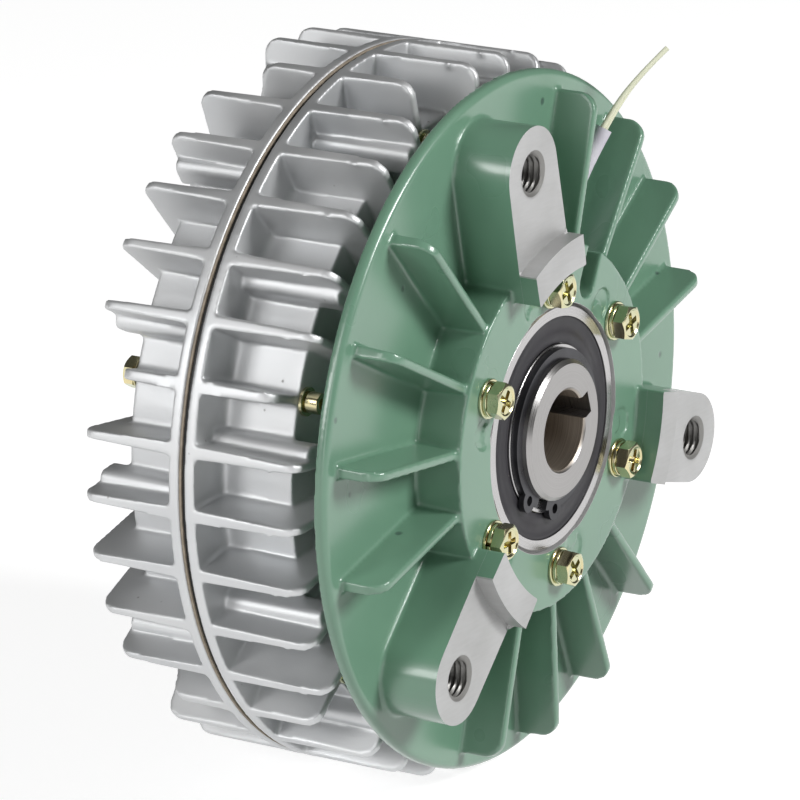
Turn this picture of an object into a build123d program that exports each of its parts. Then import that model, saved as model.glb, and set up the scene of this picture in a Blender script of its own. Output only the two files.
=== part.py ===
from build123d import *
import math
import os

# Hollow shaft magnetic powder brake.
# Millimetres. The shaft lies along Y and the mounting side faces -Y. The origin is on the
# shaft axis in the plane of the three lug faces, and a station is a distance behind it.

os.makedirs("parts", exist_ok=True)

# Angles, in degrees round the shaft, seen from the front, from +X towards +Z
bracket_turn = 3.8
lug_angle = bracket_turn + 100
stator_bolt_angle = bracket_turn + 90
lead_angle = bracket_turn + 60
mould_mark_angle = stator_bolt_angle + 14
drum_turn = 163.5
keyway_angle = 20
circlip_gap_angle = -113
circlip_eye_angle = 20

# Clearances, and how far one form of a casting reaches into the next
fit = 0.02
loose_fit = 0.1
bolt_clearance = 0.25
washer_clearance = 0.3
running_gap = 0.5
overlap = 1.0

# Ball bearings, two of 35 x 62 x 14
bearing_bore = 35.0
bearing_outside = 62.0
bearing_width = 14.0
ball_size = 7.94
ball_count = 11
race_shoulder = 4.2
race_clearance = 0.08
ring_chamfer = 0.9
ring_bore_chamfer = 0.5
seal_thickness = 1.0
seal_depth = 0.3
seal_groove = 0.9
seal_lip_gap = 0.35
cage_wall = 2.2
cage_width = 9.6
spacer_wall = 3.5

# Hollow shaft and its retaining rings
shaft_bore = 20.0
shaft_bore_chamfer = 0.6
shaft_chamfer = 1.0
key_width = 6.0
key_depth = 2.8
shaft_front = 0.0
shaft_back = 87.0
circlip_thickness = 1.5
circlip_groove_depth = 1.0
circlip_rise = 2.5
circlip_eye_radius = 2.9
circlip_eye_hole = 2.5
circlip_gap = 4.6

# Front bracket
rim_radius = 86.5
rim_edge = 1.0
plate_front = 15.5
plate_thickness = 3.0
hub_radius = 45.5
hub_front = 3.1
bearing_recess = 0.5
bearing_shoulder = 3.5
neck_radius = 46.0
lug_circle_radius = 70.0
lug_width = 23.0
lug_hole = 10.0
lug_hole_depth = 16.0
register_radius = 50.0
register_height = 4.6
register_inner_radius = 42.0
rib_count = 18
rib_thickness = 3.0
rib_front = 4.1
rib_end = 82.0
rib_corner = 5.0
mould_mark_radius = 5.0
mould_mark_circle_radius = 35.2
mould_mark_depth = 0.4

# Stator bolts and their washers
stator_bolt_count = 6
stator_bolt_circle_radius = 36.0
stator_bolt_size = 5.0
stator_bolt_length = 60.0
stator_bolt_head_width = 8.0
stator_bolt_head_height = 3.4
flat_washer_size = 9.8
flat_washer_thickness = 0.8
spring_washer_size = 8.6
spring_washer_thickness = 1.0

# Drum castings: the rear one has shorter fins than the front one
drum_radius = 89.8
fin_height = 12.5
root_draft = 0.4
root_corner = 2.0
seam_front = 52.4
seal_gap = 0.8
gasket_gap = 0.6
seal_inset = 0.9
gasket_inset = 0.4
rim_thickness = 2.9
fin_count = 36
front_fin_length = 30.7
rear_fin_length = 27.9
fin_thickness_rim = 3.5
fin_thickness_end = 2.1
fin_corner = 4.2
fin_inner_lean = 2.0
short_fin_step = 9.0
drum_depth = 22.0
drum_wall_thickness = 4.6
drum_shell = 6.85
labyrinth_thickness = 4.5
rod_radius = 2.4
rod_height = 5.6
rod_end_step = 1.0
rod_step = 30.0
rod_first = 13.6
rod_mirror = -5.0

# Drum bolts, with a spring washer in front and a flat washer and a nut behind
drum_bolt_count = 6
drum_bolt_inset = 3.7
drum_bolt_size = 4.0
drum_bolt_length = 50.0
drum_bolt_head_width = 7.0
drum_bolt_head_height = 2.8
drum_spring_washer_size = 7.0
drum_spring_washer_thickness = 1.0
drum_flat_washer_size = 8.0
drum_flat_washer_thickness = 0.5
drum_nut_width = 7.0
drum_nut_height = 3.2

# Stator and yoke
yoke_wall = 7.45
powder_gap = 1.5
powder_thickness = 0.9
powder_end = 1.0
core_half = 17.0
core_bore_step = 5.0
pole_thickness = 5.5
window_radius = 40.0
cover_thickness = 4.0
bobbin_wall = 1.4
bobbin_gap = 0.3
winding_gap = 1.0
bolt_run_out = 1.0

# Drive flange with its screws and key
flange_bolt_inset = 4.5
flange_edge = 5.0
flange_to_fins = 3.5
flange_thickness = 6.0
flange_hub_radius = 24.0
flange_boss_step = 4.0
flange_boss_draft = 2.0
flange_back = 84.0
spigot_gap = 1.8
flange_bolt_count = 6
flange_bolt_size = 5.0
flange_bolt_length = 11.0
flange_bolt_head_width = 8.0
flange_bolt_head_height = 3.5
flange_washer_size = 10.0
flange_washer_thickness = 1.0
flange_key_width = 10.0
flange_key_height = 6.0
flange_key_length = 11.0
flange_key_in_shaft = 3.7
flange_key_end = 1.0
flange_key_top_gap = 0.2

# Lead: its route is given as pairs of distance to the shaft axis and station
lead_hole_circle_radius = 38.8
lead_hole = 7.0
grommet_front = 21.0
grommet_length = 5.0
wire_size = 1.3
wire_spacing = 1.44
wire_start_out = 36.9
wire_start_gap = 0.2
lead_bends = [(38.6, 15.3), (44.0, 12.3), (54.5, 13.4), (66.3, 11.1), (79.5, 7.0)]
wire_ends = [(89.0, 2.4), (97.1, -3.8)]
wire_end_out = 0.17
wire_end_forward = 0.31
wire_end_across = 0.63
sleeve_outside = 4.3
sleeve_bore = 3.4
sleeve_start = 48.6
sleeve_end = 75.2
slot_width = 7.0
slot_inner_radius = 33.0

# Stations that follow from the values above
bearing_front = hub_front + bearing_recess
plate_back = plate_front + plate_thickness
seam_back = seam_front + seal_gap + gasket_gap
middle = (seam_front + seam_back) / 2
core_front = middle - core_half
core_back = middle + core_half
drum_front_face = seam_front - drum_depth
drum_back_face = seam_back + drum_depth
rear_bearing_front = core_back - bearing_width - bearing_recess

# Radii that follow, from the shaft outwards and from the rim of the drum inwards
shaft_radius = bearing_bore / 2
bearing_radius = bearing_outside / 2
drum_bore_radius = neck_radius + running_gap + labyrinth_thickness
flange_bolt_circle_radius = drum_bore_radius + flange_bolt_inset
flange_radius = flange_bolt_circle_radius + flange_edge
end_fin_radius = flange_radius + flange_to_fins
root_radius = drum_radius - fin_height
drum_bolt_circle_radius = root_radius - drum_bolt_inset
yoke_outer_radius = root_radius - drum_shell
yoke_inner_radius = yoke_outer_radius - yoke_wall
core_radius = yoke_inner_radius - powder_gap


def spoke(angle, station):
    """Plane across the shaft that faces forwards, with its x direction out at the angle."""
    turn = math.radians(angle)
    return Plane((0, station, 0), x_dir=(math.cos(turn), 0, math.sin(turn)), z_dir=(0, -1, 0))


def spoke_back(angle, station):
    """The same plane facing backwards, for a casting that is turned round."""
    turn = math.radians(angle)
    return Plane((0, station, 0), x_dir=(math.cos(turn), 0, math.sin(turn)), z_dir=(0, 1, 0))


def keep(piece, name):
    """Label a finished piece and write its file."""
    piece.part.label = name
    export_step(piece.part, "parts/" + name + ".step")


def turned(points):
    """Piece turned round the shaft axis from a closed outline of (radius, station) points."""
    with BuildPart() as piece:
        with BuildSketch(Plane.XY):
            with BuildLine():
                Polyline(*points, close=True)
            make_face()
        revolve(axis=Axis.Y)
    return piece


def tube(inner, outer, front, back):
    """Plain ring or tube round the shaft axis."""
    return turned([(inner, front), (outer, front), (outer, back), (inner, back)])


def screws(circle, count, angle, seat, size, length, head_width, head_height, facing=1):
    """Group of hex screws on a circle, with their heads in front of the seat, or behind it."""
    with BuildPart() as group:
        with BuildSketch(spoke(angle, seat)):
            with PolarLocations(circle, count):
                RegularPolygon(head_width / 2, 6, major_radius=False)
        extrude(amount=facing * head_height)
        with BuildSketch(spoke(angle, seat)):
            with PolarLocations(circle, count):
                Circle(size / 2)
        extrude(amount=-facing * length)
    return group


def washers(circle, count, angle, seat, inner, outer, thickness, facing=1):
    """Group of flat rings on a circle that lie in front of the seat, or behind it."""
    with BuildPart() as group:
        with BuildSketch(spoke(angle, seat)):
            with PolarLocations(circle, count):
                Circle(outer / 2)
                Circle(inner / 2, mode=Mode.SUBTRACT)
        extrude(amount=facing * thickness)
    return group


# Front bracket: a cast plate with a hub ring, a neck behind, ribs and three lugs

rib_height = plate_front - rib_front
with BuildPart() as rib:
    with BuildSketch(Plane.XZ):
        with BuildLine():
            Line((hub_radius - overlap, 0), (hub_radius - overlap, rib_height))
            Line((hub_radius - overlap, rib_height), (rib_end - rib_corner, rib_height))
            RadiusArc((rib_end - rib_corner, rib_height), (rib_end, rib_height - rib_corner), rib_corner)
            Line((rib_end, rib_height - rib_corner), (rib_end, 0))
            Line((rib_end, 0), (hub_radius - overlap, 0))
        make_face()
    extrude(amount=rib_thickness / 2, both=True)

rib_angles = []
for number in range(rib_count):
    angle = stator_bolt_angle + number * 360 / rib_count
    from_lug = (angle - lug_angle) % 120
    if min(from_lug, 120 - from_lug) > 15:
        rib_angles.append(angle)

with BuildPart() as front_bracket:
    with BuildSketch(Plane.XY):
        with BuildLine():
            Polyline(
                (0, hub_front),
                (hub_radius, hub_front),
                (hub_radius, plate_front),
                (rim_radius - rim_edge, plate_front),
                (rim_radius, plate_front + rim_edge),
                (rim_radius, plate_back),
                (neck_radius, plate_back),
                (neck_radius, core_front),
                (0, core_front),
                close=True,
            )
        make_face()
    revolve(axis=Axis.Y)
    with Locations(*[spoke(angle, plate_front) for angle in rib_angles]):
        add(rib.part)
    # Lug arms, and the raised pads whose outer arcs are the register
    with BuildSketch(spoke(lug_angle, plate_front)):
        with PolarLocations((register_inner_radius + lug_circle_radius) / 2 - overlap, 3):
            Rectangle(lug_circle_radius - register_inner_radius + 2 * overlap, lug_width)
        with PolarLocations(lug_circle_radius, 3):
            Circle(lug_width / 2)
        Circle(register_inner_radius, mode=Mode.SUBTRACT)
    extrude(amount=plate_front)
    with BuildSketch(spoke(lug_angle, 0)):
        with PolarLocations(register_radius, 3):
            Rectangle(lug_width, lug_width)
        Circle(register_radius, mode=Mode.INTERSECT)
        Circle(register_inner_radius, mode=Mode.SUBTRACT)
    extrude(amount=register_height)
    # Tapped holes of the lugs
    with BuildSketch(spoke(lug_angle, 0)):
        with PolarLocations(lug_circle_radius, 3):
            Circle(lug_hole / 2)
    extrude(amount=-lug_hole_depth, mode=Mode.SUBTRACT)
    # Bearing seat, its shoulder and the way for the shaft
    with BuildSketch(spoke(0, hub_front)):
        Circle(bearing_radius + fit)
    extrude(amount=-(bearing_recess + bearing_width), mode=Mode.SUBTRACT)
    with BuildSketch(spoke(0, hub_front)):
        Circle(bearing_radius - bearing_shoulder)
    extrude(amount=-(core_front - hub_front), mode=Mode.SUBTRACT)
    # Holes for the stator bolts, and for the lead
    with BuildSketch(spoke(stator_bolt_angle, hub_front)):
        with PolarLocations(stator_bolt_circle_radius, stator_bolt_count):
            Circle(stator_bolt_size / 2 + bolt_clearance)
    extrude(amount=-(core_front - hub_front), mode=Mode.SUBTRACT)
    with BuildSketch(spoke(lead_angle, hub_front)):
        with Locations((lead_hole_circle_radius, 0)):
            Circle(lead_hole / 2)
    extrude(amount=-(core_front - hub_front), mode=Mode.SUBTRACT)
    # Open slot in the hub ring that lets the lead out between two ribs
    slot_end = slot_inner_radius + slot_width / 2
    with BuildSketch(spoke(lead_angle, hub_front)):
        with Locations((slot_end, 0)):
            Circle(slot_width / 2)
        with Locations(((slot_end + hub_radius + overlap) / 2, 0)):
            Rectangle(hub_radius + overlap - slot_end, slot_width)
    extrude(amount=-(plate_front - hub_front), mode=Mode.SUBTRACT)
    # Shallow round marks of the mould between the bolts
    with BuildSketch(spoke(mould_mark_angle, hub_front)):
        with PolarLocations(mould_mark_circle_radius, stator_bolt_count):
            Circle(mould_mark_radius)
    extrude(amount=-mould_mark_depth, mode=Mode.SUBTRACT)
keep(front_bracket, "front_bracket")

# Stator bolts with a spring washer and a flat washer each

flat_washers = washers(
    stator_bolt_circle_radius,
    stator_bolt_count,
    stator_bolt_angle,
    hub_front,
    stator_bolt_size + washer_clearance,
    flat_washer_size,
    flat_washer_thickness,
)
keep(flat_washers, "stator_bolt_flat_washers")
spring_seat = hub_front - flat_washer_thickness
spring_washers = washers(
    stator_bolt_circle_radius,
    stator_bolt_count,
    stator_bolt_angle,
    spring_seat,
    stator_bolt_size + washer_clearance,
    spring_washer_size,
    spring_washer_thickness,
)
keep(spring_washers, "stator_bolt_spring_washers")
stator_bolt_seat = spring_seat - spring_washer_thickness
stator_bolts = screws(
    stator_bolt_circle_radius,
    stator_bolt_count,
    stator_bolt_angle,
    stator_bolt_seat,
    stator_bolt_size,
    stator_bolt_length,
    stator_bolt_head_width,
    stator_bolt_head_height,
)
keep(stator_bolts, "stator_bolts")

# Ball bearings: rings with ball grooves, balls, a cage and two rubber seals

pitch_radius = (shaft_radius + bearing_radius) / 2
groove_radius = ball_size / 2 + race_clearance
for name, front in (("front_bearing", bearing_front), ("rear_bearing", rear_bearing_front)):
    centre = front + bearing_width / 2
    back = front + bearing_width
    seal_outer = bearing_radius - race_shoulder + seal_groove
    seal_seat = seal_depth + seal_thickness
    with BuildPart() as outer_ring:
        with BuildSketch(Plane.XY):
            with BuildLine():
                Polyline(
                    (seal_outer, front),
                    (bearing_radius - ring_chamfer, front),
                    (bearing_radius, front + ring_chamfer),
                    (bearing_radius, back - ring_chamfer),
                    (bearing_radius - ring_chamfer, back),
                    (seal_outer, back),
                    (seal_outer, back - seal_seat),
                    (bearing_radius - race_shoulder, back - seal_seat),
                    (bearing_radius - race_shoulder, front + seal_seat),
                    (seal_outer, front + seal_seat),
                    close=True,
                )
            make_face()
            with Locations((pitch_radius, centre)):
                Circle(groove_radius, mode=Mode.SUBTRACT)
        revolve(axis=Axis.Y)
    keep(outer_ring, name + "_outer_ring")
    with BuildPart() as inner_ring:
        with BuildSketch(Plane.XY):
            with BuildLine():
                Polyline(
                    (shaft_radius + fit, front + ring_bore_chamfer),
                    (shaft_radius + fit + ring_bore_chamfer, front),
                    (shaft_radius + race_shoulder, front),
                    (shaft_radius + race_shoulder, back),
                    (shaft_radius + fit + ring_bore_chamfer, back),
                    (shaft_radius + fit, back - ring_bore_chamfer),
                    close=True,
                )
            make_face()
            with Locations((pitch_radius, centre)):
                Circle(groove_radius, mode=Mode.SUBTRACT)
        revolve(axis=Axis.Y)
    keep(inner_ring, name + "_inner_ring")
    with BuildPart(spoke(0, centre)) as balls:
        with PolarLocations(pitch_radius, ball_count):
            Sphere(ball_size / 2)
    keep(balls, name + "_balls")
    with BuildPart(spoke(0, centre)) as cage:
        Cylinder(pitch_radius + cage_wall / 2, cage_width)
        Cylinder(pitch_radius - cage_wall / 2, cage_width, mode=Mode.SUBTRACT)
        with PolarLocations(pitch_radius, ball_count):
            Cylinder(ball_size / 2 + loose_fit, 3 * cage_wall, rotation=(0, 90, 0), mode=Mode.SUBTRACT)
    keep(cage, name + "_cage")
    seal_inner = shaft_radius + race_shoulder + seal_lip_gap
    with BuildPart() as seals:
        for seal_back in (front + seal_seat, back - seal_depth):
            with BuildSketch(spoke(0, seal_back)):
                Circle(seal_outer - fit)
                Circle(seal_inner, mode=Mode.SUBTRACT)
            extrude(amount=seal_thickness)
    keep(seals, name + "_seals")

# Spacer between the two inner rings

spacer = tube(
    shaft_radius + fit, shaft_radius + spacer_wall, bearing_front + bearing_width, rear_bearing_front
)
keep(spacer, "bearing_spacer")

# Hollow shaft with a keyway through its bore, and a groove for a retaining ring at each end

front_groove = bearing_front - circlip_thickness
groove_floor = shaft_radius - circlip_groove_depth
with BuildPart() as hollow_shaft:
    with BuildSketch(Plane.XY):
        with BuildLine():
            Polyline(
                (shaft_bore / 2 + shaft_bore_chamfer, shaft_front),
                (shaft_radius - shaft_chamfer, shaft_front),
                (shaft_radius, shaft_front + shaft_chamfer),
                (shaft_radius, front_groove),
                (groove_floor, front_groove),
                (groove_floor, bearing_front),
                (shaft_radius, bearing_front),
                (shaft_radius, flange_back),
                (groove_floor, flange_back),
                (groove_floor, flange_back + circlip_thickness),
                (shaft_radius, flange_back + circlip_thickness),
                (shaft_radius, shaft_back - shaft_chamfer),
                (shaft_radius - shaft_chamfer, shaft_back),
                (shaft_bore / 2 + shaft_bore_chamfer, shaft_back),
                (shaft_bore / 2, shaft_back - shaft_bore_chamfer),
                (shaft_bore / 2, shaft_front + shaft_bore_chamfer),
                close=True,
            )
        make_face()
    revolve(axis=Axis.Y)
    with BuildSketch(spoke(keyway_angle, shaft_front)):
        with Locations(((shaft_bore / 2 + key_depth) / 2, 0)):
            Rectangle(shaft_bore / 2 + key_depth, key_width)
    extrude(amount=-(shaft_back - shaft_front), mode=Mode.SUBTRACT)
    with BuildSketch(spoke(keyway_angle + 180, flange_back - flange_key_end)):
        with Locations((shaft_radius, 0)):
            Rectangle(2 * flange_key_in_shaft, flange_key_width)
    extrude(amount=flange_key_length, mode=Mode.SUBTRACT)
keep(hollow_shaft, "hollow_shaft")

# Retaining rings with their two eyes

for name, front in (("front_circlip", front_groove), ("rear_circlip", flange_back)):
    with BuildPart() as circlip:
        with BuildSketch(spoke(circlip_gap_angle, front + circlip_thickness)):
            Circle(shaft_radius + circlip_rise)
            for side in (-1, 1):
                with PolarLocations(shaft_radius + circlip_rise, 1, start_angle=side * circlip_eye_angle):
                    Circle(circlip_eye_radius)
            Circle(groove_floor + fit, mode=Mode.SUBTRACT)
            for side in (-1, 1):
                with PolarLocations(shaft_radius + circlip_rise, 1, start_angle=side * circlip_eye_angle):
                    Circle(circlip_eye_hole / 2, mode=Mode.SUBTRACT)
            with Locations((shaft_radius + circlip_rise, 0)):
                Rectangle(4 * circlip_rise, circlip_gap, mode=Mode.SUBTRACT)
        extrude(amount=circlip_thickness)
    keep(circlip, name)

# Stator core in two halves round the coil

rear_seat_radius = bearing_radius + fit
with BuildPart() as core_front_half:
    with BuildSketch(Plane.XY):
        with BuildLine():
            Polyline(
                (bearing_radius - core_bore_step, core_front),
                (core_radius, core_front),
                (core_radius, core_front + pole_thickness),
                (window_radius, core_front + pole_thickness),
                (window_radius, middle),
                (bearing_radius - core_bore_step, middle),
                close=True,
            )
        make_face()
    revolve(axis=Axis.Y)
    with BuildSketch(spoke(stator_bolt_angle, core_front)):
        with PolarLocations(stator_bolt_circle_radius, stator_bolt_count):
            Circle(stator_bolt_size / 2 + bolt_clearance)
    extrude(amount=-core_half, mode=Mode.SUBTRACT)
    with BuildSketch(spoke(lead_angle, core_front)):
        with Locations((lead_hole_circle_radius, 0)):
            Circle(lead_hole / 2)
    extrude(amount=-pole_thickness, mode=Mode.SUBTRACT)
keep(core_front_half, "core_front_half")

bolt_tip = stator_bolt_seat + stator_bolt_length
with BuildPart() as core_rear_half:
    with BuildSketch(Plane.XY):
        with BuildLine():
            Polyline(
                (bearing_radius - core_bore_step, middle),
                (window_radius, middle),
                (window_radius, core_back - pole_thickness),
                (core_radius, core_back - pole_thickness),
                (core_radius, core_back),
                (rear_seat_radius, core_back),
                (rear_seat_radius, rear_bearing_front),
                (bearing_radius - core_bore_step, rear_bearing_front),
                close=True,
            )
        make_face()
    revolve(axis=Axis.Y)
    with BuildSketch(spoke(stator_bolt_angle, middle)):
        with PolarLocations(stator_bolt_circle_radius, stator_bolt_count):
            Circle(stator_bolt_size / 2 + fit)
    extrude(amount=-(bolt_tip + bolt_run_out - middle), mode=Mode.SUBTRACT)
keep(core_rear_half, "core_rear_half")

window_front = core_front + pole_thickness
window_back = core_back - pole_thickness
cover_inner = core_radius - cover_thickness
keep(tube(cover_inner, core_radius, window_front, window_back), "coil_cover_ring")
bobbin = turned(
    [
        (window_radius + loose_fit, window_front),
        (cover_inner - bobbin_gap, window_front),
        (cover_inner - bobbin_gap, window_front + bobbin_wall),
        (window_radius + bobbin_wall, window_front + bobbin_wall),
        (window_radius + bobbin_wall, window_back - bobbin_wall),
        (cover_inner - bobbin_gap, window_back - bobbin_wall),
        (cover_inner - bobbin_gap, window_back),
        (window_radius + loose_fit, window_back),
    ]
)
keep(bobbin, "coil_bobbin")
winding = tube(
    window_radius + bobbin_wall + loose_fit,
    cover_inner - winding_gap,
    window_front + bobbin_wall,
    window_back - bobbin_wall,
)
keep(winding, "coil_winding")

# Rotor ring round the stator: steel yoke, and the powder that lies on its bore

yoke_front = seam_front - (drum_depth - drum_wall_thickness)
yoke_back = seam_back + (drum_depth - drum_wall_thickness)
keep(tube(yoke_inner_radius, yoke_outer_radius, yoke_front, yoke_back), "yoke_ring")
powder_outer = yoke_inner_radius - fit
keep(
    tube(powder_outer - powder_thickness, powder_outer, core_front + powder_end, core_back - powder_end),
    "magnetic_powder",
)

# Drum castings. Each is modelled in its own frame, with the seam face at z = 0, the fins
# towards +Z and a bolt at angle 0, and then placed at the seam.

chamber_depth = drum_depth - drum_wall_thickness
bolt_step = 360 / drum_bolt_count
fin_step = 360 / fin_count
long_fin_angles = []
for number in range(fin_count):
    if number * fin_step % bolt_step > fin_step / 2:
        long_fin_angles.append(number * fin_step)
rod_angles = []
for number in range(int(180 / rod_step)):
    for side in (-1, 1):
        rod_angles.append(rod_mirror + side * (rod_first + number * rod_step))


def round_z(angle):
    """Location at the casting's axis that turns what is placed there to the angle."""
    return Location((0, 0, 0), (0, 0, angle))


def drum_casting(fin_length):
    """Half drum with tapered fins of the given length, measured from its seam face."""
    foot = root_radius - overlap
    short_fin_length = fin_length - short_fin_step
    with BuildPart() as taper:
        with BuildSketch(Plane.YZ):
            with BuildLine():
                Polyline(
                    (-fin_thickness_rim / 2, 0),
                    (fin_thickness_rim / 2, 0),
                    (fin_thickness_end / 2, fin_length),
                    (-fin_thickness_end / 2, fin_length),
                    close=True,
                )
            make_face()
        extrude(amount=drum_radius)
    with BuildPart() as fin:
        with BuildSketch(Plane.XZ):
            with BuildLine():
                Line((foot, 0), (drum_radius, 0))
                Line((drum_radius, 0), (drum_radius, fin_length - fin_corner))
                RadiusArc(
                    (drum_radius, fin_length - fin_corner), (drum_radius - fin_corner, fin_length), -fin_corner
                )
                Line((drum_radius - fin_corner, fin_length), (end_fin_radius + fin_inner_lean, fin_length))
                Line((end_fin_radius + fin_inner_lean, fin_length), (end_fin_radius, drum_depth - overlap))
                Line((end_fin_radius, drum_depth - overlap), (foot, drum_depth - overlap))
                Line((foot, drum_depth - overlap), (foot, 0))
            make_face()
        extrude(amount=fin_thickness_rim / 2, both=True)
        add(taper.part, mode=Mode.INTERSECT)
    # A fin in line with a drum bolt slopes down to the end wall, so that the bolt is clear
    with BuildPart() as short_fin:
        with BuildSketch(Plane.XZ):
            with BuildLine():
                Line((foot, 0), (drum_radius, 0))
                Line((drum_radius, 0), (drum_radius, short_fin_length - fin_corner))
                RadiusArc(
                    (drum_radius, short_fin_length - fin_corner),
                    (drum_radius - fin_corner, short_fin_length),
                    -fin_corner,
                )
                Line((drum_radius - fin_corner, short_fin_length), (root_radius - root_draft, drum_depth))
                Line((root_radius - root_draft, drum_depth), (foot, drum_depth))
                Line((foot, drum_depth), (foot, 0))
            make_face()
        extrude(amount=fin_thickness_rim / 2, both=True)
        add(taper.part, mode=Mode.INTERSECT)
    with BuildPart() as casting:
        with BuildSketch(Plane.XZ):
            with BuildLine():
                Line((yoke_outer_radius + fit, 0), (drum_radius, 0))
                Line((drum_radius, 0), (drum_radius, rim_thickness))
                Line((drum_radius, rim_thickness), (root_radius + root_corner, rim_thickness))
                RadiusArc(
                    (root_radius + root_corner, rim_thickness), (root_radius, rim_thickness + root_corner), root_corner
                )
                Line((root_radius, rim_thickness + root_corner), (root_radius - root_draft, drum_depth))
                Line((root_radius - root_draft, drum_depth), (drum_bore_radius, drum_depth))
                Line((drum_bore_radius, drum_depth), (drum_bore_radius, chamber_depth))
                Line((drum_bore_radius, chamber_depth), (yoke_outer_radius + fit, chamber_depth))
                Line((yoke_outer_radius + fit, chamber_depth), (yoke_outer_radius + fit, 0))
            make_face()
        revolve(axis=Axis.Z)
        with Locations(*[round_z(angle) for angle in long_fin_angles]):
            add(fin.part)
        with PolarLocations(0, drum_bolt_count):
            add(short_fin.part)
        # Round-topped rods in the corner beside every third fin
        rod_centre = root_radius + rod_height - rod_radius
        with BuildSketch(Plane.XY.offset(rim_thickness / 2)):
            for angle in rod_angles:
                with PolarLocations(rod_centre, 1, start_angle=angle):
                    Circle(rod_radius)
                with PolarLocations((foot + rod_centre) / 2, 1, start_angle=angle):
                    Rectangle(rod_centre - foot, 2 * rod_radius)
        extrude(amount=fin_length - rod_end_step - rim_thickness / 2)
        # Holes for the drum bolts through the wall, and tapped holes round the bore
        with BuildSketch(Plane.XY):
            with PolarLocations(drum_bolt_circle_radius, drum_bolt_count):
                Circle(drum_bolt_size / 2 + bolt_clearance)
        extrude(amount=drum_depth, mode=Mode.SUBTRACT)
        with BuildSketch(Plane.XY.offset(chamber_depth)):
            with PolarLocations(flange_bolt_circle_radius, flange_bolt_count, start_angle=bolt_step / 2):
                Circle(flange_bolt_size / 2 + fit)
        extrude(amount=drum_wall_thickness, mode=Mode.SUBTRACT)
    return casting.part


with BuildPart(spoke(drum_turn, seam_front)) as drum_front_half:
    with Locations((0, 0, 0)):
        add(drum_casting(front_fin_length))
keep(drum_front_half, "drum_front_half")
with BuildPart(spoke_back(drum_turn, seam_back)) as drum_rear_half:
    with Locations((0, 0, 0)):
        add(drum_casting(rear_fin_length))
keep(drum_rear_half, "drum_rear_half")

# Seam between the halves: a black seal in front of a fibre gasket, both bored for the bolts

for name, front, thickness, outer in (
    ("seam_seal", seam_front, seal_gap, drum_radius - seal_inset),
    ("seam_gasket", seam_front + seal_gap, gasket_gap, drum_radius - gasket_inset),
):
    with BuildPart() as layer:
        with BuildSketch(spoke(drum_turn, front + thickness)):
            Circle(outer)
            Circle(yoke_outer_radius + fit, mode=Mode.SUBTRACT)
            with PolarLocations(drum_bolt_circle_radius, drum_bolt_count):
                Circle(drum_bolt_size / 2 + bolt_clearance, mode=Mode.SUBTRACT)
        extrude(amount=thickness)
    keep(layer, name)

# Drum bolts from front to back

drum_front_washers = washers(
    drum_bolt_circle_radius,
    drum_bolt_count,
    drum_turn,
    drum_front_face,
    drum_bolt_size + washer_clearance,
    drum_spring_washer_size,
    drum_spring_washer_thickness,
)
keep(drum_front_washers, "drum_bolt_front_washers")
drum_rear_washers = washers(
    drum_bolt_circle_radius,
    drum_bolt_count,
    drum_turn,
    drum_back_face,
    drum_bolt_size + washer_clearance,
    drum_flat_washer_size,
    drum_flat_washer_thickness,
    facing=-1,
)
keep(drum_rear_washers, "drum_bolt_rear_washers")
drum_bolts = screws(
    drum_bolt_circle_radius,
    drum_bolt_count,
    drum_turn,
    drum_front_face - drum_spring_washer_thickness,
    drum_bolt_size,
    drum_bolt_length,
    drum_bolt_head_width,
    drum_bolt_head_height,
)
keep(drum_bolts, "drum_bolts")
with BuildPart() as drum_nuts:
    with BuildSketch(spoke(drum_turn, drum_back_face + drum_flat_washer_thickness)):
        with PolarLocations(drum_bolt_circle_radius, drum_bolt_count):
            RegularPolygon(drum_nut_width / 2, 6, major_radius=False)
            Circle(drum_bolt_size / 2 + fit, mode=Mode.SUBTRACT)
    extrude(amount=-drum_nut_height)
keep(drum_nuts, "drum_nuts")

# Labyrinth ring in the bore of the front drum half, round the neck of the bracket

keep(
    tube(neck_radius + running_gap, drum_bore_radius - fit, drum_front_face, yoke_front),
    "labyrinth_ring",
)

# Drive flange: carries the drum on the shaft behind the rear bearing

flange_front = rear_bearing_front + bearing_width
spigot_front = core_back + spigot_gap
flange_rear_face = drum_back_face + flange_thickness
with BuildPart() as drive_flange:
    with BuildSketch(Plane.XY):
        with BuildLine():
            Polyline(
                (shaft_radius + fit, flange_front),
                (flange_hub_radius, flange_front),
                (flange_hub_radius, spigot_front),
                (drum_bore_radius - fit, spigot_front),
                (drum_bore_radius - fit, drum_back_face),
                (flange_radius, drum_back_face),
                (flange_radius, flange_rear_face),
                (flange_hub_radius + flange_boss_step + flange_boss_draft, flange_rear_face),
                (flange_hub_radius + flange_boss_step, flange_back),
                (shaft_radius + fit, flange_back),
                close=True,
            )
        make_face()
    revolve(axis=Axis.Y)
    with BuildSketch(spoke_back(drum_turn, drum_back_face)):
        with PolarLocations(flange_bolt_circle_radius, flange_bolt_count, start_angle=bolt_step / 2):
            Circle(flange_bolt_size / 2 + bolt_clearance)
    extrude(amount=flange_thickness, mode=Mode.SUBTRACT)
    with BuildSketch(spoke(keyway_angle + 180, flange_back)):
        with Locations((shaft_radius, 0)):
            Rectangle(2 * (flange_key_height - flange_key_in_shaft + flange_key_top_gap), flange_key_width)
    extrude(amount=flange_back - flange_front, mode=Mode.SUBTRACT)
keep(drive_flange, "drive_flange")

with BuildPart() as flange_key:
    with BuildSketch(spoke(keyway_angle + 180, flange_back - flange_key_end)):
        with Locations((shaft_radius - flange_key_in_shaft + flange_key_height / 2, 0)):
            Rectangle(flange_key_height, flange_key_width - 2 * fit)
    extrude(amount=flange_key_length)
keep(flange_key, "flange_key")

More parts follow.
